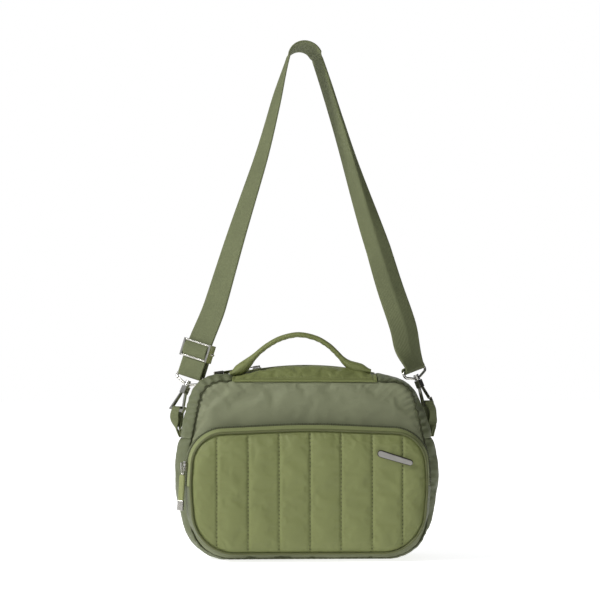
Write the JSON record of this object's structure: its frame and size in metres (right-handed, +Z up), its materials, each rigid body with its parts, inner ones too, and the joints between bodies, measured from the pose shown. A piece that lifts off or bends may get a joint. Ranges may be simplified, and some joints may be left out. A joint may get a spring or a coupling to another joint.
{
  "type": "crossbody purse",
  "caption": "Soft crossbody purse with a zipped main compartment, a quilted zip pocket on the front, a padded grab handle and an adjustable clip-on webbing strap.",
  "frame": {"origin": "middle of the base, on the surface that the bag stands on", "axes": "+Z up, the front pocket faces -Y, +X is the right side seen from the front"},
  "size_m": [0.271, 0.0935, 0.5137],
  "materials": {
    "nylon": "matt woven nylon with a soft sheen",
    "padded_cloth": "smooth fine-woven cloth, padded",
    "webbing": "ribbed nylon webbing with a sheen",
    "piping": "covered cord",
    "foam": "open-cell foam",
    "lining": "thin plain lining cloth",
    "binding": "folded tape",
    "board": "stiff sheet",
    "zip": "woven tape and nylon coil",
    "puller_tape": "folded and stitched cloth",
    "gunmetal": "dark satin",
    "spring_steel": "drawn wire",
    "polished_metal": "polished light gunmetal"
  },
  "bodies": {
    "bag": {"front_panel": "nylon", "back_panel": "nylon", "foam_front": "foam", "foam_back": "foam", "front_seam_binding": "binding", "back_seam_binding": "binding", "bottom_gusset": "nylon", "top_gusset_front": "nylon", "top_gusset_rear": "nylon", "main_zip_tape": "zip", "main_zip_chain": "zip", "top_panel": "padded_cloth", "lining": "lining", "base_board": "board", "slip_pocket": "lining", "pocket_panel": "padded_cloth", "pocket_gusset_lower": "nylon", "pocket_strip_front": "nylon", "pocket_strip_rear": "nylon", "pocket_zip_chain": "zip", "pocket_lining": "lining", "pocket_piping": "piping", "badge": "gunmetal", "handle_ends": "padded_cloth", "left_tab": "webbing", "right_tab": "webbing"},
    "handle": {"handle": "padded_cloth"},
    "strap": {"strap_webbing": "webbing", "strap_return": "webbing", "left_ring": "polished_metal", "right_ring": "polished_metal"},
    "adjuster": {"slider_frame": "polished_metal", "slider_bar": "polished_metal", "strap_end_loop": "webbing"},
    "main_slider": {"main_zip_slider": "polished_metal"},
    "main_puller": {"main_zip_loop": "polished_metal", "main_zip_puller": "puller_tape", "main_zip_puller_cap": "polished_metal"},
    "pocket_slider": {"pocket_zip_slider": "polished_metal"},
    "pocket_puller": {"pocket_zip_loop": "polished_metal", "pocket_zip_puller": "puller_tape", "pocket_zip_puller_cap": "polished_metal"},
    "left_hook": {"left_hook_frame": "polished_metal", "left_gate_pin": "polished_metal", "left_gate_spring": "spring_steel", "left_swivel_post": "polished_metal"},
    "left_gate": {"left_gate": "polished_metal"},
    "right_hook": {"right_hook_frame": "polished_metal", "right_gate_pin": "polished_metal", "right_gate_spring": "spring_steel", "right_swivel_post": "polished_metal"},
    "right_gate": {"right_gate": "polished_metal"}
  },
  "joints": [
    {"name": "strap_swing", "type": "hinge", "parent": "bag", "child": "strap", "pos_m": [-0.13015, 0.00743, 0.1483], "axis": [0.9997, 0.0073, 0.0213], "range_deg": [-40, 18], "deforming": ["left_tab", "right_tab"]},
    {"name": "left_swivel", "type": "hinge", "parent": "strap", "child": "left_hook", "pos_m": [-0.11534, 0.01207, 0.18299], "axis": [0.3896, 0.122, 0.9129], "range_deg": [-15, 15]},
    {"name": "left_gate_hinge", "type": "hinge", "parent": "left_hook", "child": "left_gate", "pos_m": [-0.12076, 0.00839, 0.16739], "axis": [0.7295, 0.5641, -0.3868], "range_deg": [0, 25], "stiffness_Nm_per_rad": 0.004, "springref_deg": -17.19},
    {"name": "right_swivel", "type": "hinge", "parent": "strap", "child": "right_hook", "pos_m": [0.10818, 0.01191, 0.18892], "axis": [-0.368, 0.0693, 0.9272], "range_deg": [-15, 15]},
    {"name": "right_gate_hinge", "type": "hinge", "parent": "right_hook", "child": "right_gate", "pos_m": [0.11536, 0.01246, 0.17361], "axis": [-0.7848, 0.5117, -0.3497], "range_deg": [0, 25], "stiffness_Nm_per_rad": 0.004, "springref_deg": -17.19},
    {"name": "strap_adjust", "type": "slide", "parent": "strap", "child": "adjuster", "axis": [0.2956, 0, 0.9553], "range_m": [0, 0.1], "deforming": ["strap_return"]},
    {"name": "handle_tilt", "type": "hinge", "parent": "bag", "child": "handle", "pos_m": [-0.009, 0.002, 0.2012], "axis": [1, 0, 0], "range_deg": [-75, 75]},
    {"name": "main_zip_travel", "type": "hinge", "parent": "bag", "child": "main_slider", "pos_m": [0, 0.028, -0.1595], "axis": [0, -1, 0], "range_deg": [-15, 0]},
    {"name": "main_puller_lift", "type": "hinge", "parent": "main_slider", "child": "main_puller", "pos_m": [-0.049, 0.0296, 0.18916], "axis": [0.0675, 0.8746, -0.4801], "range_deg": [0, 150]},
    {"name": "pocket_zip_travel", "type": "hinge", "parent": "bag", "child": "pocket_slider", "pos_m": [-0.0835, -0.03, 0.095], "axis": [0, 1, 0], "range_deg": [0, 90]},
    {"name": "pocket_puller_swing", "type": "hinge", "parent": "pocket_slider", "child": "pocket_puller", "pos_m": [-0.12431, -0.03096, 0.094], "axis": [-0.2924, 0.9563, 0], "range_deg": [0, 150]}
  ]
}
